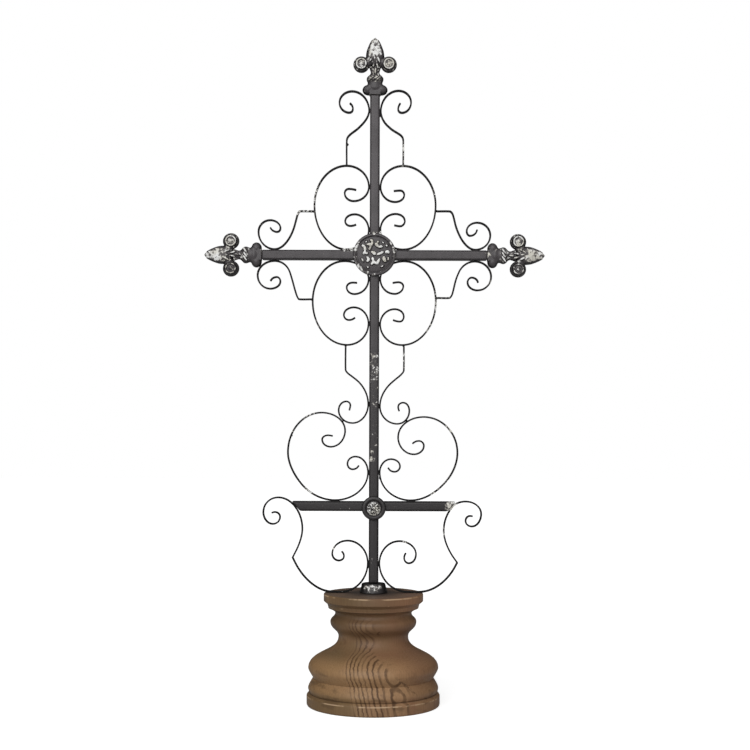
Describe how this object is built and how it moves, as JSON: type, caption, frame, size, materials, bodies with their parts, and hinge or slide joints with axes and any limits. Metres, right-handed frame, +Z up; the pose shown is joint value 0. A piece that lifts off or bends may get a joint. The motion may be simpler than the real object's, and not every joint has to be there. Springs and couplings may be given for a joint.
{
  "type": "tabletop cross",
  "caption": "Standing openwork cross of square iron bars and flat strip scrolls, with cast bud finials and rosettes, on a turned wooden foot.",
  "frame": {"origin": "middle of the wooden foot's underside", "axes": "+Z up along the post, +X along the right arm, -Y towards the front with the rosettes"},
  "size_m": [0.3612, 0.141, 0.7063],
  "materials": {
    "black_iron": "satin, worn",
    "worn_cast_iron": "rough, worn white paint",
    "brown_pine": "satin, aged"
  },
  "bodies": {
    "root": {"wood_foot": "brown_pine", "post_socket": "worn_cast_iron", "post": "black_iron", "centre_boss": "worn_cast_iron", "lower_boss": "worn_cast_iron", "finial_top": "worn_cast_iron", "upper_c_scroll_left": "black_iron", "upper_c_scroll_right": "black_iron", "lower_c_scroll_left": "black_iron", "lower_c_scroll_right": "black_iron", "top_s_scroll_left": "black_iron", "top_s_scroll_right": "black_iron", "lower_s_scroll_left": "black_iron", "lower_s_scroll_right": "black_iron", "side_scroll_left": "black_iron", "side_scroll_right": "black_iron", "upper_arm_scroll_left": "black_iron", "upper_arm_scroll_right": "black_iron", "lower_arm_scroll_left": "black_iron", "lower_arm_scroll_right": "black_iron", "lyre_scroll_left": "black_iron", "lyre_scroll_right": "black_iron", "arm_left": "black_iron", "arm_right": "black_iron", "lower_arm_left": "black_iron", "lower_arm_right": "black_iron", "finial_left": "worn_cast_iron", "finial_right": "worn_cast_iron"}
  },
  "joints": []
}
